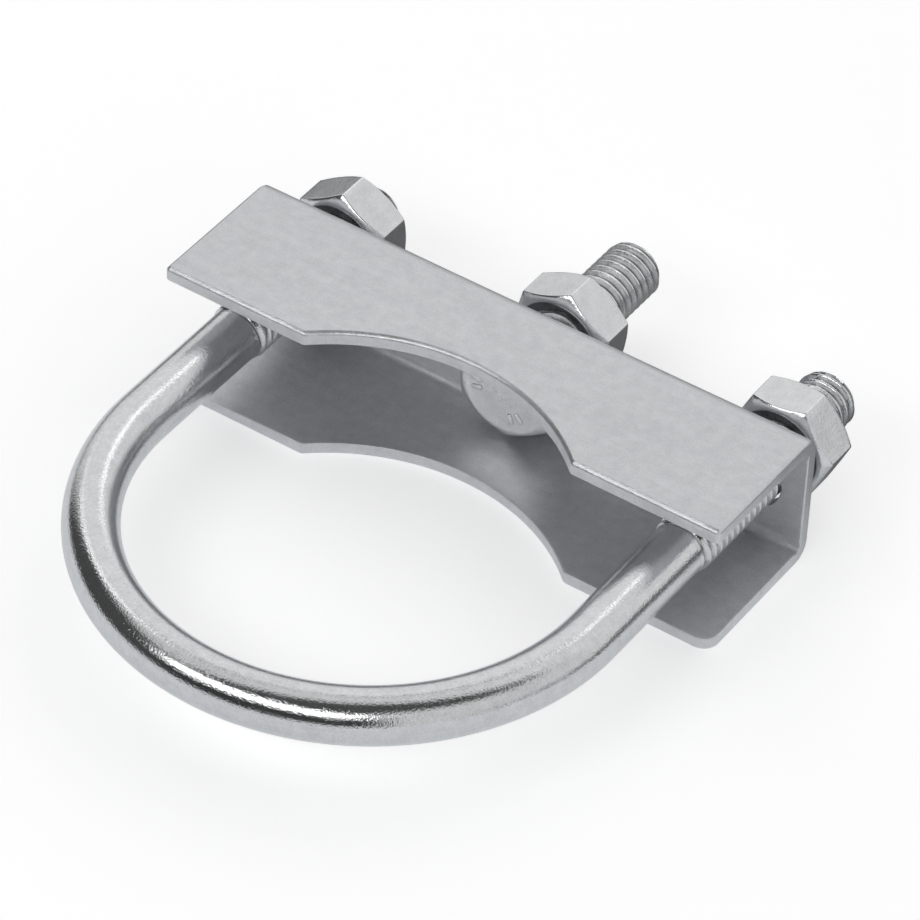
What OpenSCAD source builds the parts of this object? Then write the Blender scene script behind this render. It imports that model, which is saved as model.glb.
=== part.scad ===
// U-bolt pipe clamp: a round-rod U-bolt, a notched channel saddle, a centre bolt and three hex nuts.
// Origin: centre of the bow, in the plane of the rod.
// X runs from leg to leg, Y from the bow towards the nuts, Z up.

/* [U-bolt] */
// Distance between the axes of the two legs
leg_span = 65; // [60:0.5:80]
// Diameter of the plain rod
rod_d = 7.1; // [6:0.1:7.5]
// Major diameter of the threads
thread_d = 7.9; // [7.6:0.1:8]
// Distance from the bow's centre to the left leg's end
left_leg_end = 49.4; // [49:0.1:70]
// Distance from the bow's centre to the right leg's end
right_leg_end = 53.3; // [49:0.1:70]
// Distance from the bow's centre to the start of the legs' threads
thread_start = 19; // [5:0.5:30]

/* [Saddle] */
// Length of the channel along X
saddle_l = 80.4; // [78:0.2:100]
// Outside height of the channel
saddle_h = 20; // [19:0.5:30]
// Thickness of the sheet
sheet_t = 2; // [1.5:0.1:2.5]
// Distance from the bow's centre to the flanges' free edges
flange_front = 14.35; // [10:0.05:17]
// Distance from the bow's centre to the web's outer face
web_back = 36.65; // [35:0.05:37]
// Outside radius of the two bends
bend_r = 3.4; // [2.6:0.1:4]
// Radius of the notches that seat the pipe
notch_r = 28.35; // [26:0.05:30]
// Depth of the notches behind the flanges' free edges
notch_depth = 7.65; // [3:0.05:10]
// Diameter of the three clearance holes in the web
hole_d = 8.5; // [8.4:0.1:10.5]
// Corner radius at the upper flange's free edge
upper_corner_r = 0.6; // [0.5:0.1:4]
// Corner radius at the lower flange's free edge
lower_corner_r = 2.2; // [0.5:0.1:4]

/* [Centre bolt] */
// Height of the hex head
head_h = 5.3; // [4:0.1:6]
// Length of the shank under the head
shank_l = 25; // [22:0.5:40]

/* [Nuts] */
// Distance across the flats of the nuts and of the bolt's head
hex_af = 13; // [12:0.1:14]
// Height of the nuts
nut_h = 6.1; // [5.5:0.1:7]
// Radial clearance between a nut's bore and the thread
nut_clearance = 0.05; // [0.02:0.01:0.1]
// Gap between the web and the left nut
left_gap = 3.7; // [0.2:0.05:6]
// Gap between the web and the centre nut
centre_gap = 4.7; // [0.2:0.05:6]
// Gap between the web and the right nut
right_gap = 3.9; // [0.2:0.05:6]
// Turn of the left nut about its leg, in degrees
left_turn = 30; // [0:1:60]
// Turn of the centre nut about the bolt, in degrees
centre_turn = 22; // [0:1:60]
// Turn of the right nut about its leg, in degrees
right_turn = 6; // [0:1:60]

/* [Hidden] */
$fn = 96;
eps = 0.01;
zinc_bright = [0.80, 0.81, 0.83];
zinc_satin = [0.74, 0.75, 0.76];
leg_x = leg_span / 2;
hex_r = hex_af / 2 / cos(30);
face_r = hex_af * 0.455;
bevel = (hex_r - face_r) * tan(30);
end_chamfer = 0.8;
runout = 0.6;
washer_h = 0.4;
notch_y = flange_front + notch_depth - notch_r;
head_seat = web_back - sheet_t;

// Turns a shape that stands on Z so that it points along Y.
module along_y(y = 0) {
    translate([0, y, 0])
    rotate([-90, 0, 0])
    children();
}

// A threaded length at its major diameter, with a chamfered end.
module threaded_shank(length) {
    rotate_extrude()
    polygon([
        [0, 0],
        [thread_d / 2, 0],
        [thread_d / 2, length - end_chamfer],
        [thread_d / 2 - end_chamfer, length],
        [0, length]
    ]);
}

// One leg: plain rod, the thread's run-out, then the thread to its chamfered end.
module leg(end) {
    rotate_extrude()
    polygon([
        [0, 0],
        [rod_d / 2, 0],
        [rod_d / 2, thread_start - runout],
        [thread_d / 2, thread_start],
        [thread_d / 2, end - end_chamfer],
        [thread_d / 2 - end_chamfer, end],
        [0, end]
    ]);
}

module u_bolt() {
    color(zinc_bright)
    union() {
        translate([-leg_x, 0, 0])
        along_y()
        leg(left_leg_end);
        translate([leg_x, 0, 0])
        along_y()
        leg(right_leg_end);
        rotate([0, 0, 180])
        rotate_extrude(angle = 180)
        translate([leg_x, 0])
        circle(d = rod_d);
    }
}

// A rectangle from y = front to y = back with its two rear corners rounded.
module rear_rounded(front, back, height, r) {
    translate([front, -height / 2])
    square([back - r - front, height]);
    translate([back - r - eps, -height / 2 + r])
    square([r + eps, height - 2 * r]);
    for (side = [-1, 1])
        translate([back - r, side * (height / 2 - r)])
        circle(r = r);
}

// The channel's cross-section, open towards the bow.
module channel_section() {
    difference() {
        rear_rounded(flange_front, web_back, saddle_h, bend_r);
        rear_rounded(
            flange_front - 1,
            web_back - sheet_t,
            saddle_h - 2 * sheet_t,
            bend_r - sheet_t
        );
    }
}

// The waste outside a rounded corner of a flange. side is -1 at the left end and 1 at the right end.
module corner_waste(side, r) {
    translate([side * saddle_l / 2, flange_front, 0])
    mirror([side > 0 ? 1 : 0, 0, 0])
    difference() {
        translate([-1, -1, -sheet_t])
        cube([r + 1, r + 1, 2 * sheet_t]);
        translate([r, r, 0])
        cylinder(r = r, h = 4 * sheet_t + 1, center = true);
    }
}

module saddle() {
    color(zinc_satin)
    difference() {
        rotate([90, 0, 90])
        linear_extrude(height = saddle_l, center = true)
        channel_section();
        translate([0, notch_y, 0])
        cylinder(r = notch_r, h = saddle_h + 2, center = true);
        for (x = [-leg_x, 0, leg_x])
            translate([x, 0, 0])
            along_y(web_back - sheet_t - 1)
            cylinder(d = hole_d, h = sheet_t + 2);
        for (side = [-1, 1]) {
            translate([0, 0, saddle_h / 2 - sheet_t / 2])
            corner_waste(side, upper_corner_r);
            translate([0, 0, -saddle_h / 2 + sheet_t / 2])
            corner_waste(side, lower_corner_r);
        }
    }
}

// A hexagonal prism of height h with its corners bevelled at the bottom, and at the top if asked.
module hex_blank(h, both_ends) {
    intersection() {
        cylinder(r = hex_r, h = h, $fn = 6);
        rotate_extrude()
        polygon([
            [0, 0],
            [face_r, 0],
            [hex_r + 0.1, bevel + 0.1 * tan(30)],
            [hex_r + 0.1, both_ends ? h - bevel - 0.1 * tan(30) : h],
            [both_ends ? face_r : hex_r + 0.1, h],
            [0, h]
        ]);
    }
}

// A hex nut standing on Z, bored to run on the thread.
module hex_nut() {
    bore_r = thread_d / 2 + nut_clearance;
    difference() {
        hex_blank(nut_h, true);
        translate([0, 0, -1])
        cylinder(r = bore_r, h = nut_h + 2);
        translate([0, 0, -eps])
        cylinder(r1 = bore_r + 0.4, r2 = bore_r, h = 0.4);
        translate([0, 0, nut_h - 0.4 + eps])
        cylinder(r1 = bore_r, r2 = bore_r + 0.4, h = 0.4);
    }
}

// A nut on the axis at x, its near face gap beyond the web, a corner at turn degrees from X.
module placed_nut(x, gap, turn) {
    color(zinc_bright)
    translate([x, 0, 0])
    along_y(web_back + gap)
    rotate([0, 0, -turn])
    hex_nut();
}

module left_leg_nut() {
    placed_nut(-leg_x, left_gap, left_turn);
}

module centre_nut() {
    placed_nut(0, centre_gap, centre_turn);
}

module right_leg_nut() {
    placed_nut(leg_x, right_gap, right_turn);
}

// The head seats on the web's inner face and looks towards the bow.
module centre_bolt() {
    color(zinc_bright)
    union() {
        along_y(head_seat - head_h)
        rotate([0, 0, 30])
        hex_blank(head_h - washer_h, false);
        along_y(head_seat - washer_h - eps)
        cylinder(r = face_r, h = washer_h + eps);
        along_y(head_seat)
        threaded_shank(shank_l);
    }
}

u_bolt();
saddle();
centre_bolt();
left_leg_nut();
centre_nut();
right_leg_nut();
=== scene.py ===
import math

import bmesh
import bpy
from mathutils import Matrix, Vector
from mathutils.geometry import delaunay_2d_cdt


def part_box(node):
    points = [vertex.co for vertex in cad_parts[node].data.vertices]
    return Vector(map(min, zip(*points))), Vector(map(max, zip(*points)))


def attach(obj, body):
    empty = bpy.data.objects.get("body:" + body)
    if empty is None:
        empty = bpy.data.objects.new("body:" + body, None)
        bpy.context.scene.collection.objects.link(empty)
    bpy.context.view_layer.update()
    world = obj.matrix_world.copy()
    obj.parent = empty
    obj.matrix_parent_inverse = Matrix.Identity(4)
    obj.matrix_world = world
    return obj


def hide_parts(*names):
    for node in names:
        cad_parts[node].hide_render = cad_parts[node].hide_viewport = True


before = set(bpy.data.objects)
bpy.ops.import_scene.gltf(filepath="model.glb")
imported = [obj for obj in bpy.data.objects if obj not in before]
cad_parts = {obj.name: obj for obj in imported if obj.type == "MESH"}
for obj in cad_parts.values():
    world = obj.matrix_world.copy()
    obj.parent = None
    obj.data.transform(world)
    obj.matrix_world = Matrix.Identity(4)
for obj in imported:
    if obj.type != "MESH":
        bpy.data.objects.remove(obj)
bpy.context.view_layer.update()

# U-bolt pipe clamp: the visible pieces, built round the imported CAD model.
# Shapes are worked out in millimetres and scaled to metres as each mesh is made.
# X runs from leg to leg, Y from the bow towards the nuts, Z up.

MM = 0.001
TAU = 2 * math.pi


def box_mm(node):
    low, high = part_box(node)
    return [c / MM for c in low], [c / MM for c in high]


UB_HIGH = box_mm("u_bolt")[1]
SD_LOW, SD_HIGH = box_mm("saddle")
CB_LOW, CB_HIGH = box_mm("centre_bolt")

# Threads: M8, rolled
PITCH = 1.25
THREAD_R = UB_HIGH[2]
THREAD_DEPTH = 0.70
CREST_DROP = 0.04
END_CHAMFER = 0.8
ROD_R = 3.55
LEG_X = UB_HIGH[0] - THREAD_R
LEFT_LEG_END = 49.4
RIGHT_LEG_END = UB_HIGH[1]
RUN_OUT_Y = 17.9
COLUMNS = 64
BOW_RINGS = 121
LEG_RINGS = 13

# Hexagons
HEX_AF = 13.0
HEX_FACE_R = HEX_AF * 0.455
HEX_CORNER = 0.28
HEX_EDGE = 0.07
BEVEL_SLOPE = math.tan(math.pi / 6)
BORE_R = 4.0
COUNTERSINK = 0.4
WASHER_H = 0.4
PLAIN_NECK = 0.6
BAR_R = 3.9
BAR_LENGTH = 1.5
BAR_WIDTH = 0.60
BAR_HEIGHT = 0.20

# Saddle
SHEET = 2.0
HALF_L = SD_HIGH[0]
HALF_H = SD_HIGH[2]
FRONT_Y = SD_LOW[1]
BACK_Y = SD_HIGH[1]
BEND_R = 3.4
NOTCH_R = 28.35
NOTCH_Y = -6.35
HOLE_R = 4.25
RIGHT_CORNERS = (2.2, 0.6)
LEFT_CORNERS = (0.6, 2.2)
NOTCH_CORNER = 0.9
GRID_STEP = 2.4


# ---------------------------------------------------------------- mesh building

class Shell:
    """Collects vertices (mm), faces, and per-vertex numbers for the materials."""

    def __init__(self):
        self.verts = []
        self.faces = []
        self.flow = []
        self.wear_and_shade = []

    def add(self, point, flow, wear_and_shade):
        self.verts.append(point)
        self.flow.append(flow)
        self.wear_and_shade.append(wear_and_shade)
        return len(self.verts) - 1

    def ring(self, points, flows, wear_and_shade):
        return [self.add(p, f, wear_and_shade) for p, f in zip(points, flows)]

    def band(self, a, b, closed=True):
        n = len(a)
        for i in range(n if closed else n - 1):
            j = (i + 1) % n
            self.faces.append((a[i], a[j], b[j], b[i]))

    def fan(self, ring, centre):
        n = len(ring)
        for i in range(n):
            self.faces.append((ring[i], ring[(i + 1) % n], centre))


def finish_piece(name, shell, node, body, material, sharp=38.0):
    mesh = bpy.data.meshes.new(name)
    mesh.from_pydata([[c * MM for c in v] for v in shell.verts], [], shell.faces)
    mesh.attributes.new("flow", "FLOAT_VECTOR", "POINT")
    mesh.attributes["flow"].data.foreach_set("vector", [c for f in shell.flow for c in f])
    mesh.attributes.new("wear_and_shade", "FLOAT", "POINT")
    mesh.attributes["wear_and_shade"].data.foreach_set("value", shell.wear_and_shade)
    bm = bmesh.new()
    bm.from_mesh(mesh)
    bmesh.ops.remove_doubles(bm, verts=bm.verts, dist=2e-7)
    bmesh.ops.dissolve_degenerate(bm, dist=1e-8, edges=bm.edges)
    loose = [v for v in bm.verts if not v.link_faces]
    bmesh.ops.delete(bm, geom=loose, context="VERTS")
    bmesh.ops.recalc_face_normals(bm, faces=bm.faces)
    limit = math.radians(sharp)
    for face in bm.faces:
        face.smooth = True
    for edge in bm.edges:
        edge.smooth = edge.calc_face_angle(0.0) < limit
    open_edges = sum(1 for e in bm.edges if len(e.link_faces) != 2)
    print("piece", name, "verts", len(bm.verts), "open edges", open_edges)
    bm.to_mesh(mesh)
    bm.free()
    piece = bpy.data.objects.new(name, mesh)
    bpy.context.scene.collection.objects.link(piece)
    mesh.materials.append(material)
    normals = piece.modifiers.new("even_normals", "WEIGHTED_NORMAL")
    normals.keep_sharp = True
    normals.weight = 60
    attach(piece, body)
    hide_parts(node)
    return piece


def smooth(x):
    x = min(max(x, 0.0), 1.0)
    return x * x * (3 - 2 * x)


def crest(phase):
    """Height of the thread's ridge, 0 at the root and 1 at the crest."""
    t = abs(phase % 1.0 - 0.5) * 2
    x = min(max((0.86 - t) / 0.70, 0.0), 1.0)
    return 0.6 * x + 0.4 * smooth(x)


def around_y(x0, z0, r, y, theta):
    """A point at radius r about the Y-parallel axis through (x0, z0), theta from Z towards X."""
    return (x0 + r * math.sin(theta), y, z0 + r * math.cos(theta))


def screw_patch(shell, x0, start, end, angles, radius_at, shift=0.0, steps=14):
    """A right-hand helical surface between two flat rings, its rows following the helix."""
    turns = [a / TAU for a in angles] + [angles[0] / TAU + 1.0]
    span = end - start
    first = -int(steps * (turns[-1] + 1)) - 1
    last = int(span / PITCH * steps) + steps + 2
    previous = None
    for k in range(first, last):
        row = []
        for turn in turns:
            y = start + PITCH * (k / steps + turn)
            y = min(max(y, start), end)
            phase = (y - shift) / PITCH - turn
            r, wear_and_shade = radius_at(y, phase)
            theta = TAU * turn
            flow = (r * math.cos(theta), r * math.sin(theta), y)
            row.append(shell.add(around_y(x0, 0.0, r, y, theta), flow, wear_and_shade))
        if previous:
            for i in range(len(turns) - 1):
                quad = (previous[i], previous[i + 1], row[i + 1], row[i])
                ys = [shell.verts[q][1] for q in quad]
                if max(ys) - min(ys) > 1e-9:
                    shell.faces.append(quad)
        previous = row


def threaded_end(shell, x0, start, end, angles, root_fade, base_r):
    """An external thread from start to end, its ridge fading in, with a chamfered tip and cap."""

    def radius_at(y, phase):
        h = crest(phase)
        fade = smooth((y - start) / root_fade)
        r = base_r + fade * (THREAD_R - THREAD_DEPTH * (1 - h) - base_r)
        chamfer = THREAD_R - CREST_DROP - (y - (end - END_CHAMFER))
        # Painted shade in the thread's roots: this number runs from 1 on the crests to 0 in the
        # roots, and the material darkens it there.
        wear_and_shade = 0.55 + fade * (h - 0.55)
        if r > chamfer:
            return chamfer, 0.75
        return r, wear_and_shade

    screw_patch(shell, x0, start, end, angles, radius_at)
    tip = THREAD_R - CREST_DROP - END_CHAMFER
    profile = [(tip, 0.0, 0.8), (tip - 0.12, 0.06, 0.9), (tip - 0.35, 0.07, 0.6),
               (tip * 0.62, 0.0, 0.5), (tip * 0.3, -0.03, 0.5)]
    previous = None
    for r, dy, wear_and_shade in profile:
        points = [around_y(x0, 0.0, r, end + dy - 0.07, a) for a in angles]
        if r == tip:
            points = [around_y(x0, 0.0, r, end, a) for a in angles]
        flows = [(r * math.cos(a), r * math.sin(a), end + r) for a in angles]
        ring = shell.ring(points, flows, wear_and_shade)
        if previous:
            shell.band(previous, ring)
        previous = ring
    shell.fan(previous, shell.add((x0, end - 0.1, 0.0), (0, 0, end), 0.5))


# ---------------------------------------------------------------- U-bolt

def build_u_bolt(material):
    shell = Shell()
    angles = [TAU * i / COLUMNS for i in range(COLUMNS)]
    bow_length = math.pi * LEG_X

    def leg_rings(side):
        """Plain rings from the bow's end of a leg up to the thread's run-out."""
        rings = []
        for k in range(LEG_RINGS):
            y = RUN_OUT_Y * k / (LEG_RINGS - 1)
            along = -y if side < 0 else bow_length + y
            points = [around_y(side * LEG_X, 0.0, ROD_R, y, -side * a) for a in angles]
            flows = [(ROD_R * math.cos(a), ROD_R * math.sin(a), along) for a in angles]
            rings.append(shell.ring(points, flows, 0.55))
        for a, b in zip(rings, rings[1:]):
            shell.band(a, b)

    leg_rings(-1)
    leg_rings(1)
    rings = []
    for k in range(BOW_RINGS):
        t = k / (BOW_RINGS - 1)
        phi = math.pi * (1 + t)
        out = Vector((math.cos(phi), math.sin(phi), 0.0))
        points = []
        flows = []
        for a in angles:
            radial = LEG_X - ROD_R * math.sin(a)
            points.append((out.x * radial, out.y * radial, ROD_R * math.cos(a)))
            flows.append((ROD_R * math.cos(a), ROD_R * math.sin(a), bow_length * t))
        rings.append(shell.ring(points, flows, 0.55))
    for a, b in zip(rings, rings[1:]):
        shell.band(a, b)
    for side in (-1, 1):
        leg_end = LEFT_LEG_END if side < 0 else RIGHT_LEG_END
        threaded_end(shell, side * LEG_X, RUN_OUT_Y, leg_end, angles, 2.0, ROD_R)
    finish_piece("u_bolt_rod", shell, "u_bolt", "u_bolt", material, 50.0)


# ---------------------------------------------------------------- hexagons

def hex_angles(turn):
    """Angles round a hexagon, theta from Z towards X, close together at the rounded corners."""
    apothem = HEX_AF / 2
    tangent = math.atan((apothem - HEX_CORNER) * math.tan(math.pi / 6) / apothem)
    fractions = [-1, -0.75, -0.5, -0.25, 0, 0.25, 0.5, 0.75, 1]
    corner = math.radians(90 - turn)
    angles = []
    for side in range(6):
        middle = corner + math.pi / 6 + side * math.pi / 3
        angles += [middle + f * tangent for f in fractions]
        gap = math.pi / 3 - 2 * tangent
        angles += [middle + tangent + gap * f for f in (0.25, 0.5, 0.75)]
    return angles, corner


def hex_radius(theta, corner):
    """Outline of the hexagon with softened corners."""
    apothem = HEX_AF / 2
    inner = (apothem - HEX_CORNER) / math.cos(math.pi / 6)
    away = (theta - corner) % (math.pi / 3)
    delta = min(away, math.pi / 3 - away)
    phi = math.pi / 6 - delta
    tangent = math.atan((apothem - HEX_CORNER) * math.tan(math.pi / 6) / apothem)
    if phi <= tangent:
        return apothem / math.cos(phi)
    return inner * math.cos(delta) + math.sqrt(HEX_CORNER ** 2 - (inner * math.sin(delta)) ** 2)


def hex_side(shell, x0, y_near, y_far, angles, corner, near_bevel, far_bevel):
    """Bevelled outside of a hexagon, from its near face's rim to its far face's rim."""
    soft = HEX_EDGE
    columns = []
    for theta in angles:
        big = hex_radius(theta, corner)
        edge = (big - HEX_FACE_R) * BEVEL_SLOPE
        waist = (big + HEX_FACE_R) / 2
        near_corner = 1.0 if big > HEX_AF / 2 / math.cos(math.radians(27.5)) else 0.0
        profile = []
        if near_bevel:
            profile += [(HEX_FACE_R - soft, 0.0, 0.6), (HEX_FACE_R + 0.01, 0.015, 0.8)]
            profile += [(waist, edge * 0.28, 0.8), (big - soft, edge - soft, 0.9)]
            profile += [(big - 0.012, edge + 0.012, 1.0)]
            profile += [(big, edge + soft, 0.6)]
        else:
            profile += [(big - soft, 0.0, 0.6), (big - 0.02, 0.02, 0.9), (big, soft, 0.6)]
        height = y_far - y_near
        low = profile[-1][1]
        high = height - (edge + soft if far_bevel else soft)
        body_wear = 0.5 + 0.45 * near_corner
        profile += [(big, low + (high - low) * f, body_wear) for f in (0.06, 0.35, 0.65, 0.94)]
        if far_bevel:
            profile += [(big, height - edge - soft, 0.6)]
            profile += [(big - 0.012, height - edge - 0.012, 1.0)]
            profile += [(big - soft, height - edge + soft, 0.9)]
            profile += [(waist, height - edge * 0.28, 0.8)]
            profile += [(HEX_FACE_R + 0.01, height - 0.015, 0.8)]
            profile += [(HEX_FACE_R - soft, height, 0.6)]
        else:
            profile += [(big, height - soft, 0.6), (big - 0.02, height - 0.02, 0.9)]
            profile += [(big - soft, height, 0.6)]
        column = []
        for r, dy, wear_and_shade in profile:
            flow = (r * math.cos(theta), r * math.sin(theta), y_near + dy)
            column.append(shell.add(around_y(x0, 0.0, r, y_near + dy, theta), flow, wear_and_shade))
        columns.append(column)
    count = len(columns)
    for i in range(count):
        a = columns[i]
        b = columns[(i + 1) % count]
        for k in range(len(a) - 1):
            shell.faces.append((a[k], b[k], b[k + 1], a[k + 1]))
    return [c[0] for c in columns], [c[-1] for c in columns]


def face_rings(shell, x0, rim, y, angles, radii, wear_and_shade_values):
    """Flat rings inwards from a rim of vertices, each at its own radius and height."""
    previous = rim
    for (r, dy), wear_and_shade in zip(radii, wear_and_shade_values):
        points = [around_y(x0, 0.0, r, y + dy, a) for a in angles]
        flows = [(r * math.cos(a), r * math.sin(a), y + 3 * r) for a in angles]
        ring = shell.ring(points, flows, wear_and_shade)
        shell.band(previous, ring)
        previous = ring
    return previous


def build_nut(name, node, turn, material):
    low, high = box_mm(node)
    x0 = (low[0] + high[0]) / 2
    y_near, y_far = low[1], high[1]
    angles, corner = hex_angles(turn)
    shell = Shell()
    near, far = hex_side(shell, x0, y_near, y_far, angles, corner, True, True)
    mouth = BORE_R + COUNTERSINK
    # The near face, towards the web, gets a number near 0: painted shade that makes it dark. The
    # countersink and bore mouth also get painted shade and darken a little going in.
    for rim, y, into, face_wear_and_shade in ((near, y_near, 1, 0.05), (far, y_far, -1, 0.60)):
        radii = [(HEX_FACE_R - 0.28, 0.0), (mouth + 0.10, 0.0), (mouth + 0.02, 0.01 * into),
                 (BORE_R + 0.03, (COUNTERSINK - 0.01) * into), (BORE_R, COUNTERSINK * into)]
        face_rings(shell, x0, rim, y, angles, radii, [face_wear_and_shade, face_wear_and_shade, 0.9, 0.6, 0.4])

    def radius_at(y, phase):
        room = min(y - (y_near + COUNTERSINK), (y_far - COUNTERSINK) - y)
        h = 1 - crest(phase)
        # Painted shade in the bore's thread: the roots get lower numbers and come out darker.
        return BORE_R + 0.38 * h * smooth(room / 0.5), 0.2 + 0.3 * (1 - h)

    screw_patch(shell, x0, y_near + COUNTERSINK, y_far - COUNTERSINK, angles, radius_at,
                PITCH / 2, 12)
    finish_piece(name, shell, node, node, material, 38.0)


def raised_bar(shell, y, angle):
    """A small radial bar standing on the bolt head's face. angle is from X towards Z."""
    length, width, height = BAR_LENGTH, BAR_WIDTH, BAR_HEIGHT
    ax, az = math.cos(angle), math.sin(angle)
    centre = (BAR_R * ax, BAR_R * az)
    outline = []
    steps = 8
    for end in (1, -1):
        for k in range(steps + 1):
            a = -math.pi / 2 + math.pi * k / steps
            outline.append((end * (length / 2 - width / 2 + width / 2 * math.cos(a)),
                            end * width / 2 * math.sin(a)))
    rings = []
    # From the foot up: the two foot rings get a low number, painted shade round each bar's foot,
    # and the top ring gets 1.
    for scale, up, wear_and_shade in ((1.30, 0.12, 0.2), (1.25, 0.0, 0.2), (1.0, -height * 0.7, 0.8),
                            (0.7, -height, 1.0)):
        points = []
        flows = []
        for u, v in outline:
            grow = (scale - 1.0) * width / 2
            size = math.hypot(u, v) or 1.0
            du = u + grow * (1 if u > 0 else -1) * min(1.0, abs(u) / (length / 2))
            dv = v * scale
            px = centre[0] + du * ax - dv * az
            pz = centre[1] + du * az + dv * ax
            points.append((px, y + up, pz))
            flows.append((px, pz, y + size))
        rings.append(shell.ring(points, flows, wear_and_shade))
    for a, b in zip(rings, rings[1:]):
        shell.band(a, b)
    shell.faces.append(tuple(rings[0]))
    shell.faces.append(tuple(rings[-1]))


def build_centre_bolt(material):
    face_y = CB_LOW[1]
    tip_y = CB_HIGH[1]
    seat_y = BACK_Y - SHEET
    angles, corner = hex_angles(90.0)
    shell = Shell()
    near, far = hex_side(shell, 0.0, face_y, seat_y - WASHER_H, angles, corner, True,
                         False)
    dish = [(5.55, 0.0), (5.25, 0.03), (4.9, 0.05), (3.0, 0.06), (1.2, 0.06)]
    inner = face_rings(shell, 0.0, near, face_y, angles, dish, [0.6, 0.5, 0.45, 0.45, 0.45])
    shell.fan(inner, shell.add((0.0, face_y + 0.06, 0.0), (0, 0, face_y), 0.45))
    washer_rings = [(HEX_FACE_R + 0.12, 0.0), (HEX_FACE_R, 0.04), (HEX_FACE_R, WASHER_H - 0.05),
                    (HEX_FACE_R - 0.06, WASHER_H), (4.3, WASHER_H), (THREAD_R, WASHER_H)]
    face_rings(shell, 0.0, far, seat_y - WASHER_H, angles, washer_rings,
               [0.4, 0.4, 0.7, 0.9, 0.4, 0.4])

    def plain(y):
        return [around_y(0.0, 0.0, THREAD_R, y, a) for a in angles]

    flows = [(THREAD_R * math.cos(a), THREAD_R * math.sin(a), seat_y) for a in angles]
    a = shell.ring(plain(seat_y), flows, 0.5)
    b = shell.ring(plain(seat_y + PLAIN_NECK), flows, 0.5)
    shell.band(a, b)
    threaded_end(shell, 0.0, seat_y + PLAIN_NECK, tip_y, angles, 1.0, THREAD_R)
    for middle in (184, 299, 62):
        for offset in (-10, 10):
            raised_bar(shell, face_y + 0.05, math.radians(middle + offset))
    finish_piece("centre_bolt_hex", shell, "centre_bolt", "centre_bolt", material,
                 38.0)


# ---------------------------------------------------------------- saddle

WEB_HALF = HALF_H - BEND_R
MID_R = BEND_R - SHEET / 2
ARC_L = MID_R * math.pi / 2
FLANGE_L = BACK_Y - BEND_R - FRONT_Y
S_END = WEB_HALF + ARC_L + FLANGE_L
S_FOLD = WEB_HALF + ARC_L


def fold(x, s, d):
    """Places a point of the flat sheet, d from its middle (+ outside), on the bent channel."""
    side = 1 if s >= 0 else -1
    a = abs(s)
    if a <= WEB_HALF:
        y, z = BACK_Y - SHEET / 2 + d, a
        bend = 0.0
    elif a <= S_FOLD:
        beta = (a - WEB_HALF) / MID_R
        y = BACK_Y - BEND_R + (MID_R + d) * math.cos(beta)
        z = WEB_HALF + (MID_R + d) * math.sin(beta)
        bend = math.sin(2 * beta)
    else:
        y, z = BACK_Y - BEND_R - (a - S_FOLD), HALF_H - SHEET / 2 + d
        bend = 0.0
    reach = smooth(1 - (HALF_L - abs(x)) / 1.6)
    x += math.copysign(0.20 * bend * reach * -d, x)
    return (x, y, z * side)


def corner_arc(before, corner, after, r, steps=7):
    """Replaces a convex corner with an arc. Returns (x, s, nx, ns) points."""
    b, c, a = Vector(before), Vector(corner), Vector(after)
    u = (b - c).normalized()
    v = (a - c).normalized()
    half = math.acos(max(-1.0, min(1.0, u.dot(v)))) / 2
    centre = c + (u + v).normalized() * (r / math.sin(half))
    start = c + u * (r / math.tan(half))
    end = c + v * (r / math.tan(half))
    a0 = math.atan2(start.y - centre.y, start.x - centre.x)
    a1 = math.atan2(end.y - centre.y, end.x - centre.x)
    while a1 < a0:
        a1 += TAU
    points = []
    for k in range(steps + 1):
        angle = a0 + (a1 - a0) * k / steps
        nx, ns = math.cos(angle), math.sin(angle)
        points.append((centre.x + r * nx, centre.y + r * ns, nx, ns))
    return points


def fold_lines():
    """Distances from the web's middle at which the sheet needs a line of vertices."""
    lines = [WEB_HALF - 0.5, WEB_HALF]
    lines += [WEB_HALF + ARC_L * k / 9 for k in range(1, 9)]
    lines += [S_FOLD, S_FOLD + 0.5]
    return sorted([-v for v in lines] + lines)


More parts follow.
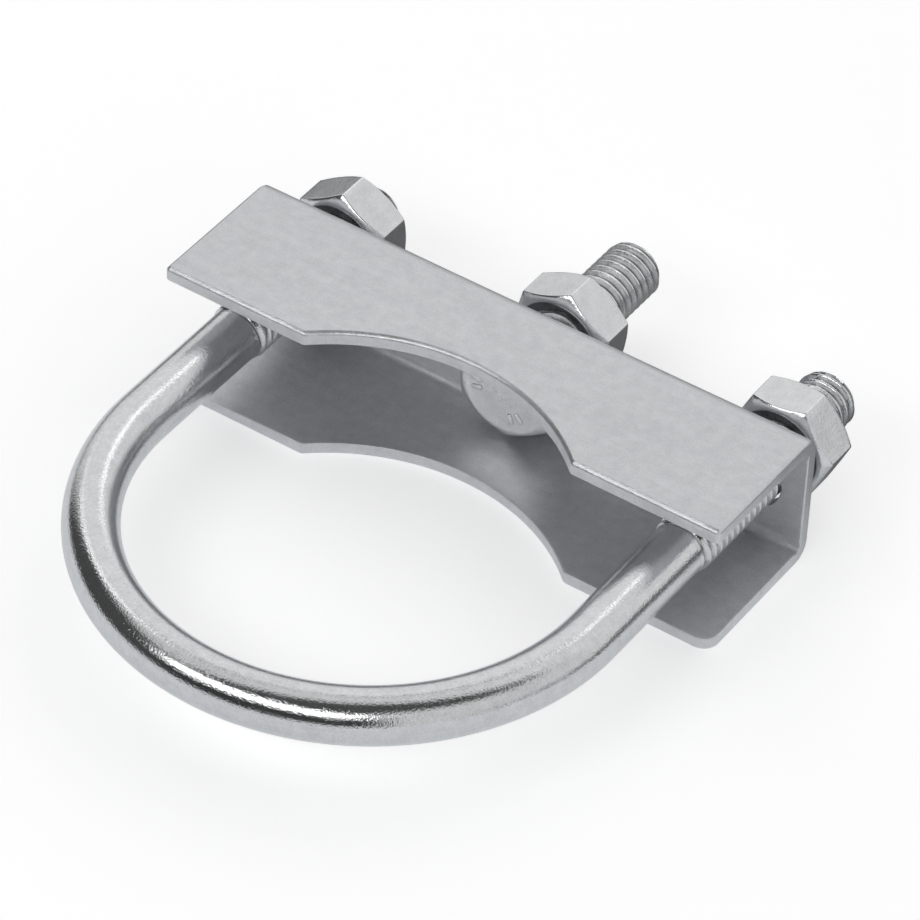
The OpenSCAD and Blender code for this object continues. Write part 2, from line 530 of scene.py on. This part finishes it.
def sheet_outline():
    """The flat sheet's edge, anticlockwise, as (x, s, nx, ns)."""
    points = []
    notch_x = math.sqrt(NOTCH_R ** 2 - (FRONT_Y - NOTCH_Y) ** 2)
    s_notch = S_FOLD + BACK_Y - BEND_R - NOTCH_Y
    arc_half = math.asin(notch_x / NOTCH_R)
    tangent = 2.0

    def straight(p, q, n, step=2.0, at=None):
        length = math.hypot(q[0] - p[0], q[1] - p[1])
        if at is None:
            count = max(1, round(length / step))
            at = [k / count for k in range(1, count)]
        for f in at:
            points.append((p[0] + (q[0] - p[0]) * f, p[1] + (q[1] - p[1]) * f, *n))

    for side in (1, -1):
        # side 1 runs up the right-hand end and along the upper edge, -1 down the left and back
        low_r, high_r = RIGHT_CORNERS if side > 0 else LEFT_CORNERS
        x = side * HALF_L
        s0, s1 = -side * (S_END - low_r), side * (S_END - high_r)
        stops = fold_lines()
        extra = [s0 + (s1 - s0) * k / 24 for k in range(1, 24)]
        extra = [v for v in extra if all(abs(v - w) > 0.9 for w in stops)]
        at = sorted((v - s0) / (s1 - s0) for v in stops + extra)
        straight((x, s0), (x, s1), (side, 0.0), at=at)
        top = side * S_END
        points.extend(corner_arc((x, s0), (x, top), (0.0, top), high_r))
        leg_a = (side * (HALF_L - high_r), top)
        # the notch's corners, taken as straight over the few tenths that the rounding covers
        tx, ts = math.cos(arc_half), math.sin(arc_half)
        near = (side * (notch_x - tx * tangent), top - side * ts * tangent)
        first = corner_arc(leg_a, (side * notch_x, top), near, NOTCH_CORNER, 5)
        straight(leg_a, first[0][:2], (0.0, side))
        points.extend(first)
        cut = NOTCH_CORNER * math.tan(arc_half / 2) / NOTCH_R
        steps = 44
        for k in range(1, steps):
            angle = (arc_half - cut) * (1 - 2 * k / steps)
            px = side * NOTCH_R * math.sin(angle)
            ps = side * (s_notch - NOTCH_R * math.cos(angle))
            points.append((px, ps, math.sin(angle) * -side, math.cos(angle) * side))
        far = (side * -(notch_x - tx * tangent), top - side * ts * tangent)
        leg_b = (-side * (HALF_L - high_r), top)
        second = corner_arc(far, (-side * notch_x, top), leg_b, NOTCH_CORNER, 5)
        points.extend(second)
        straight(second[-1][:2], leg_b, (0.0, side))
        corner = (-side * HALF_L, top)
        points.extend(corner_arc((0.0, top), corner, (-side * HALF_L, 0.0), high_r))
    return points


def inside(point, loop):
    x, y = point
    hit = False
    for (x1, y1), (x2, y2) in zip(loop, loop[1:] + loop[:1]):
        if (y1 > y) != (y2 > y) and x < (x2 - x1) * (y - y1) / (y2 - y1) + x1:
            hit = not hit
    return hit


def build_saddle(material):
    shell = Shell()
    outline = sheet_outline()
    holes = []
    for x in (-LEG_X, 0.0, LEG_X):
        ring = []
        for k in range(48):
            a = -TAU * k / 48
            nx, ns = -math.cos(a), -math.sin(a)
            ring.append((x - HOLE_R * nx, -HOLE_R * ns, nx, ns))
        holes.append(ring)
    loops = [outline] + holes
    # each row of the sheet's edge: how far in from the edge, how far from the middle, wear
    edge_rows = [(0.52, 1.0, 0.5), (0.44, 0.985, 0.9), (0.14, 0.71, 1.0), (0.04, 0.57, 0.9),
                 (0.0, 0.44, 0.60), (0.0, 0.10, 0.45), (0.0, -0.30, 0.45), (0.0, -0.80, 0.5),
                 (0.03, -0.93, 0.9), (0.10, -0.99, 1.0), (0.22, -1.0, 0.8), (0.52, -1.0, 0.5)]

    def place(x, s, d, wear_and_shade):
        ripple = 0.0
        if abs(d) > 0.9:
            ripple = 0.012 * math.sin(x * 0.21 + s * 0.13)
            ripple += 0.008 * math.sin(x * 0.09 - s * 0.31 + 1.0)
        return shell.add(fold(x, s, d + ripple), (x, s, d * 3), wear_and_shade)

    rims = {1: [], -1: []}
    for loop in loops:
        rows = []
        for inset, d, wear_and_shade in edge_rows:
            rows.append([place(x - nx * inset, s - ns * inset, d * SHEET / 2, wear_and_shade)
                         for x, s, nx, ns in loop])
        for a, b in zip(rows, rows[1:]):
            shell.band(a, b)
        rims[1].append(rows[0])
        rims[-1].append(rows[-1])
    inset = edge_rows[0][0]
    flat = []
    edges = []
    loop_points = []
    for loop in loops:
        start = len(flat)
        flat += [(x - nx * inset, s - ns * inset) for x, s, nx, ns in loop]
        loop_points.append(flat[start:])
        count = len(loop)
        edges += [(start + k, start + (k + 1) % count) for k in range(count)]
    rim_count = len(flat)
    step = GRID_STEP
    columns = int((HALF_L - step / 2) / step)
    rows = fold_lines()
    rows += [side * (S_FOLD + 0.5 + step * k) for side in (1, -1) for k in range(1, 8)]
    rows += [side * step * k for side in (1, -1) for k in (1, 2)] + [0.0]
    for s in rows:
        for k in range(-columns, columns + 1):
            p = (k * step, s)
            ok = inside(p, loop_points[0]) and not any(inside(p, h) for h in loop_points[1:])
            near = min(math.hypot(p[0] - q[0], p[1] - q[1]) for q in flat[:rim_count])
            if ok and near > 0.8:
                flat.append(p)
    for s in fold_lines():
        line = sorted((p[0], i) for i, p in enumerate(flat) if abs(p[1] - s) < 1e-6)
        edges += [(line[k][1], line[k + 1][1]) for k in range(len(line) - 1)
                  if line[k + 1][0] - line[k][0] < 2 * step + 0.5]
    out = delaunay_2d_cdt([Vector(p) for p in flat], edges, [], 0, 1e-7)
    points, triangles, origins = out[0], out[2], out[3]
    lookup = {1: {}, -1: {}}
    rim_flat = {1: [v for r in rims[1] for v in r], -1: [v for r in rims[-1] for v in r]}
    for face in (1, -1):
        for i, p in enumerate(points):
            source = origins[i][0] if origins[i] else -1
            if 0 <= source < rim_count:
                lookup[face][i] = rim_flat[face][source]
            else:
                lookup[face][i] = place(p.x, p.y, face * SHEET / 2, 0.5)
    for tri in triangles:
        centre = (sum(points[i].x for i in tri) / len(tri),
                  sum(points[i].y for i in tri) / len(tri))
        if not inside(centre, loop_points[0]) or any(inside(centre, h) for h in loop_points[1:]):
            continue
        shell.faces.append(tuple(lookup[1][i] for i in tri))
        shell.faces.append(tuple(lookup[-1][i] for i in reversed(tri)))
    finish_piece("saddle_channel", shell, "saddle", "saddle", material, 60.0)


# ---------------------------------------------------------------- materials

def zinc(name, dark, light, rough, rough_spread, grain, streak, dimple, streak_scale,
         painted_shade_level, inside_rough=0.0, metallic=1.0):
    """Zinc plating: mottled colour, drawn streaks along the flow, bright rubbed edges, fine grain.

    dark and light bound the colour. The per-vertex number from the meshes runs to 1 on rubbed edges
    and to 0 where shade is painted: thread roots, the feet of the head's bars and the nuts' faces
    towards the web. Where it is 0 the colour falls to the painted shade level.
    """
    material = bpy.data.materials.new(name)
    material.use_nodes = True
    nodes = material.node_tree.nodes
    links = material.node_tree.links
    nodes.clear()

    def node(kind, **values):
        made = nodes.new(kind)
        for key, value in values.items():
            setattr(made, key, value)
        return made

    output = node("ShaderNodeOutputMaterial")
    shader = node("ShaderNodeBsdfPrincipled")
    links.new(shader.outputs["BSDF"], output.inputs["Surface"])
    shader.inputs["Metallic"].default_value = metallic
    flow = node("ShaderNodeAttribute", attribute_name="flow")
    wear_and_shade = node("ShaderNodeAttribute", attribute_name="wear_and_shade")
    place = node("ShaderNodeTexCoord")

    def noise(source, scale, detail, roughness=0.5):
        made = node("ShaderNodeTexNoise")
        made.inputs["Scale"].default_value = scale
        made.inputs["Detail"].default_value = detail
        made.inputs["Roughness"].default_value = roughness
        links.new(source, made.inputs["Vector"])
        return made.outputs["Fac"]

    def spread(source, low, high, out_low, out_high):
        made = node("ShaderNodeMapRange")
        for key, value in (("From Min", low), ("From Max", high),
                           ("To Min", out_low), ("To Max", out_high)):
            made.inputs[key].default_value = value
        links.new(source, made.inputs["Value"])
        return made.outputs["Result"]

    def maths(kind, a, b):
        made = node("ShaderNodeMath", operation=kind)
        for slot, value in enumerate((a, b)):
            if isinstance(value, float):
                made.inputs[slot].default_value = value
            else:
                links.new(value, made.inputs[slot])
        return made.outputs[0]

    stretch = node("ShaderNodeMapping")
    stretch.inputs["Scale"].default_value = streak_scale
    links.new(flow.outputs["Vector"], stretch.inputs["Vector"])
    streaks = noise(stretch.outputs["Vector"], 1.0, 3.0, 0.6)
    mottle = noise(place.outputs["Object"], 160.0, 3.0, 0.55)
    fine = noise(place.outputs["Object"], 3600.0, 2.0, 0.6)
    blotch = noise(place.outputs["Object"], 600.0, 4.0, 0.65)

    tone = maths("ADD", maths("MULTIPLY", streaks, 0.18), maths("MULTIPLY", blotch, 0.44))
    tone = maths("ADD", tone, maths("MULTIPLY", fine, 0.38))
    ramp = node("ShaderNodeValToRGB")
    ramp.color_ramp.elements[0].position = 0.37
    ramp.color_ramp.elements[0].color = (*dark, 1.0)
    ramp.color_ramp.elements[1].position = 0.63
    ramp.color_ramp.elements[1].color = (*light, 1.0)
    links.new(tone, ramp.inputs["Fac"])
    shade = node("ShaderNodeMix", data_type="RGBA", blend_type="MULTIPLY")
    shade.inputs["Factor"].default_value = 1.0
    links.new(ramp.outputs["Color"], shade.inputs["A"])
    # Painted shade and rubbed edges: this ramp turns the per-vertex number into a colour factor,
    # the painted shade level at 0 and the whole colour at 1.
    wear_and_shade_ramp = node("ShaderNodeValToRGB")
    wear_and_shade_ramp.color_ramp.elements[0].position = 0.0
    wear_and_shade_ramp.color_ramp.elements[0].color = (painted_shade_level, painted_shade_level, painted_shade_level * 1.03, 1.0)
    wear_and_shade_ramp.color_ramp.elements[1].position = 1.0
    wear_and_shade_ramp.color_ramp.elements[1].color = (1.0, 1.0, 1.0, 1.0)
    middle = wear_and_shade_ramp.color_ramp.elements.new(0.45)
    middle.color = (0.96, 0.96, 0.96, 1.0)
    links.new(wear_and_shade.outputs["Fac"], wear_and_shade_ramp.inputs["Fac"])
    links.new(wear_and_shade_ramp.outputs["Color"], shade.inputs["B"])
    links.new(shade.outputs["Result"], shader.inputs["Base Color"])

    rough_noise = spread(mottle, 0.3, 0.7, rough - rough_spread, rough + rough_spread)
    rough_grain = maths("MULTIPLY", spread(fine, 0.3, 0.7, -0.5, 0.5), rough_spread)
    rough_edge = spread(wear_and_shade.outputs["Fac"], 0.5, 1.0, 0.0, -0.05)
    roughness = maths("ADD", maths("ADD", rough_noise, rough_grain), rough_edge)
    if inside_rough:
        parts = node("ShaderNodeSeparateXYZ")
        links.new(flow.outputs["Vector"], parts.inputs["Vector"])
        inner = spread(parts.outputs["Z"], 1.0, -1.0, 0.0, inside_rough)
        roughness = maths("ADD", roughness, inner)
    links.new(roughness, shader.inputs["Roughness"])

    bump_fine = node("ShaderNodeBump")
    bump_fine.inputs["Strength"].default_value = grain
    bump_fine.inputs["Distance"].default_value = 0.00006
    links.new(fine, bump_fine.inputs["Height"])
    bump_streak = node("ShaderNodeBump")
    bump_streak.inputs["Strength"].default_value = streak
    bump_streak.inputs["Distance"].default_value = 0.00005
    links.new(streaks, bump_streak.inputs["Height"])
    links.new(bump_fine.outputs["Normal"], bump_streak.inputs["Normal"])
    bump_blotch = node("ShaderNodeBump")
    bump_blotch.inputs["Strength"].default_value = dimple
    bump_blotch.inputs["Distance"].default_value = 0.00008
    links.new(blotch, bump_blotch.inputs["Height"])
    links.new(bump_streak.outputs["Normal"], bump_blotch.inputs["Normal"])
    links.new(bump_blotch.outputs["Normal"], shader.inputs["Normal"])
    return material


rod_zinc = zinc(
    "zinc_drawn_rod", dark=(0.71, 0.72, 0.73), light=(0.86, 0.87, 0.88),
    rough=0.060, rough_spread=0.025, grain=0.60, streak=0.05, dimple=0.08,
    streak_scale=(1.6, 1.6, 0.05), painted_shade_level=0.20)
nut_zinc = zinc(
    "zinc_forged_hexagon", dark=(0.73, 0.74, 0.75), light=(0.86, 0.87, 0.88),
    rough=0.20, rough_spread=0.04, grain=0.36, streak=0.16, dimple=0.08,
    streak_scale=(1.2, 1.2, 0.25), painted_shade_level=0.12)
bolt_zinc = zinc(
    "zinc_forged_bolt", dark=(0.78, 0.79, 0.80), light=(0.93, 0.94, 0.95),
    rough=0.26, rough_spread=0.05, grain=0.50, streak=0.18, dimple=0.14,
    streak_scale=(1.2, 1.2, 0.25), painted_shade_level=0.16, metallic=0.85)
sheet_zinc = zinc(
    "zinc_pressed_sheet", dark=(0.67, 0.68, 0.70), light=(0.81, 0.82, 0.84),
    rough=0.40, rough_spread=0.05, grain=0.60, streak=0.12, dimple=0.22,
    streak_scale=(0.10, 1.1, 0.5), painted_shade_level=0.62, inside_rough=0.05, metallic=0.85)

build_u_bolt(rod_zinc)
build_saddle(sheet_zinc)
build_centre_bolt(bolt_zinc)
build_nut("left_nut_hex", "left_leg_nut", 30.0, nut_zinc)
build_nut("centre_nut_hex", "centre_nut", 22.0, nut_zinc)
build_nut("right_nut_hex", "right_leg_nut", 6.0, nut_zinc)


# ---------------------------------------------------------------- floor, light and camera

def build_floor(name, height, tone, emission, tint):
    """A round matt sheet that glows slightly, its height counted down from the lower flange."""
    mesh = bpy.data.meshes.new(name)
    bm = bmesh.new()
    bmesh.ops.create_circle(bm, cap_ends=True, segments=96, radius=3.0)
    bm.to_mesh(mesh)
    bm.free()
    floor = bpy.data.objects.new(name, mesh)
    bpy.context.scene.collection.objects.link(floor)
    floor.location.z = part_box("saddle")[0][2] - height
    material = bpy.data.materials.new(name + "_white")
    material.use_nodes = True
    shader = material.node_tree.nodes["Principled BSDF"]
    shader.inputs["Base Color"].default_value = (*(tone * part for part in tint), 1.0)
    shader.inputs["Roughness"].default_value = 0.9
    shader.inputs["Specular IOR Level"].default_value = 0.1
    shader.inputs["Emission Color"].default_value = (*tint, 1.0)
    shader.inputs["Emission Strength"].default_value = emission
    mesh.materials.append(material)
    return floor


def darken_behind(card, tone, emission):
    """Paints shadow on the card: fades it to a fifth of its brightness between 30 and 50 mm behind
    the bow's centre, where the object shades the floor behind the web.
    """
    tree = card.data.materials[0].node_tree
    shader = tree.nodes["Principled BSDF"]
    place = tree.nodes.new("ShaderNodeTexCoord")
    split = tree.nodes.new("ShaderNodeSeparateXYZ")
    tree.links.new(place.outputs["Object"], split.inputs["Vector"])
    fade = tree.nodes.new("ShaderNodeMapRange")
    for key, value in (("From Min", 0.030), ("From Max", 0.050), ("To Min", 1.0), ("To Max", 0.2)):
        fade.inputs[key].default_value = value
    tree.links.new(split.outputs["Y"], fade.inputs["Value"])
    for socket, full in (("Base Color", tone), ("Emission Strength", emission)):
        scaled = tree.nodes.new("ShaderNodeMath")
        scaled.operation = "MULTIPLY"
        scaled.inputs[1].default_value = full
        tree.links.new(fade.outputs["Result"], scaled.inputs[0])
        tree.links.new(scaled.outputs["Value"], shader.inputs[socket])


def area_light(name, direction, distance, width, height, radiance):
    """A rectangular softbox aimed at the origin, its brightness given as its surface's radiance."""
    data = bpy.data.lights.new(name, "AREA")
    data.shape = "RECTANGLE"
    data.size = width
    data.size_y = height
    data.energy = radiance * math.pi * width * height
    light = bpy.data.objects.new(name, data)
    bpy.context.scene.collection.objects.link(light)
    light.location = Vector(direction).normalized() * distance
    light.rotation_mode = "QUATERNION"
    light.rotation_quaternion = (-light.location).to_track_quat("-Z", "Y")
    light.visible_camera = False


# Brightness of the room where no patch covers it, and of the backdrop that the camera sees
ROOM_LEVEL = 0.64
BACKDROP = 0.93

# Patches of the room as the metal sees it: azimuth, half width, low, high and edge in degrees,
# then brightness. Azimuth is from X towards Y, and later patches cover earlier ones.
STUDIO = [
    (92.0, 58.0, 3.0, 72.0, 9.0, 0.74),
    (126.0, 30.0, 16.0, 62.0, 4.0, 0.0),
    (200.0, 36.0, -6.0, 48.0, 5.0, 0.07),
    (272.0, 40.0, -8.0, 56.0, 4.0, 0.05),
    (300.0, 80.0, 53.0, 95.0, 4.0, 0.08),
    (8.0, 14.0, 46.0, 58.0, 4.0, 0.10),
    (45.0, 62.0, -2.0, 2.6, 1.5, 0.10),
]


def build_world():
    world = bpy.data.worlds.new("studio")
    bpy.context.scene.world = world
    world.use_nodes = True
    nodes = world.node_tree.nodes
    links = world.node_tree.links
    nodes.clear()

    def maths(kind, *values):
        made = nodes.new("ShaderNodeMath")
        made.operation = kind
        for slot, value in enumerate(values):
            if isinstance(value, float):
                made.inputs[slot].default_value = value
            else:
                links.new(value, made.inputs[slot])
        return made.outputs[0]

    def step(value, low, high):
        made = nodes.new("ShaderNodeMapRange")
        made.interpolation_type = "SMOOTHSTEP"
        made.inputs["From Min"].default_value = low
        made.inputs["From Max"].default_value = high
        links.new(value, made.inputs["Value"])
        return made.outputs["Result"]

    output = nodes.new("ShaderNodeOutputWorld")
    place = nodes.new("ShaderNodeTexCoord")
    split = nodes.new("ShaderNodeSeparateXYZ")
    links.new(place.outputs["Generated"], split.inputs["Vector"])
    x, y, z = split.outputs
    elevation = maths("MULTIPLY", maths("ARCSINE", z), 180.0 / math.pi)
    level = ROOM_LEVEL
    for azimuth, half, low, high, edge, value in STUDIO:
        c, s = math.cos(math.radians(azimuth)), math.sin(math.radians(azimuth))
        ahead = maths("ADD", maths("MULTIPLY", x, c), maths("MULTIPLY", y, s))
        across = maths("SUBTRACT", maths("MULTIPLY", y, c), maths("MULTIPLY", x, s))
        angle = maths("MULTIPLY", maths("ARCTAN2", across, ahead), 180.0 / math.pi)
        away = maths("ABSOLUTE", angle)
        beside = maths("SUBTRACT", 1.0, step(away, half - edge, half + edge))
        above = step(elevation, low - edge / 2, low + edge / 2)
        below = maths("SUBTRACT", 1.0, step(elevation, high - edge / 2, high + edge / 2))
        mask = maths("MULTIPLY", beside, maths("MULTIPLY", above, below))
        change = maths("MULTIPLY", mask, maths("SUBTRACT", value, level))
        level = maths("ADD", level, change)
    room = nodes.new("ShaderNodeBackground")
    room.inputs["Strength"].default_value = 1.0
    links.new(level, room.inputs["Color"])
    plain = nodes.new("ShaderNodeBackground")
    plain.inputs["Color"].default_value = (BACKDROP, BACKDROP, BACKDROP, 1.0)
    seen = nodes.new("ShaderNodeLightPath")
    mix = nodes.new("ShaderNodeMixShader")
    links.new(seen.outputs["Is Camera Ray"], mix.inputs["Fac"])
    links.new(room.outputs["Background"], mix.inputs[1])
    links.new(plain.outputs["Background"], mix.inputs[2])
    links.new(mix.outputs["Shader"], output.inputs["Surface"])


def build_camera():
    data = bpy.data.cameras.new("camera")
    data.lens = 226.0
    data.sensor_width = 36.0
    data.clip_start = 0.01
    data.clip_end = 20.0
    camera = bpy.data.objects.new("camera", data)
    bpy.context.scene.collection.objects.link(camera)
    right = Vector((0.8248, 0.5642, 0.0359)).normalized()
    up = Vector((-0.4001, 0.5377, 0.7422))
    up = (up - right * up.dot(right)).normalized()
    back = right.cross(up)
    turn = Matrix((right, up, back)).transposed().to_4x4()
    camera.matrix_world = Matrix.Translation(Vector((0.28088, -0.42014, 0.46602))) @ turn
    bpy.context.scene.camera = camera


# Brightness of the reflection card under the lights, and its own glow, which is painted light: it
# lifts the card where the object shades it, as reflections see it.
CARD_TONE = 0.50
CARD_GLOW = 0.38

# The floor the camera sees, and a card just above it that only reflections see.
floor = build_floor("floor", height=0.00008, tone=0.90, emission=0.45, tint=(1.0, 1.0, 1.0))
floor.visible_glossy = False
floor.visible_shadow = False
card = build_floor("floor_reflection_card", height=0.00003, tone=CARD_TONE, emission=CARD_GLOW,
                   tint=(0.97, 1.0, 1.04))
darken_behind(card, CARD_TONE, CARD_GLOW)
card.visible_camera = False
card.visible_diffuse = False
card.visible_shadow = False
build_world()
area_light("back_left_soft", (-0.45, 0.61, 0.62), distance=1.1, width=1.2, height=0.9,
           radiance=0.80)
area_light("front_strip", (-0.0518, -0.7413, 0.669), distance=1.1, width=1.32, height=0.35,
           radiance=2.3)
build_camera()
view_settings = bpy.context.scene.view_settings
view_settings.view_transform = "Standard"
view_settings.look = "None"
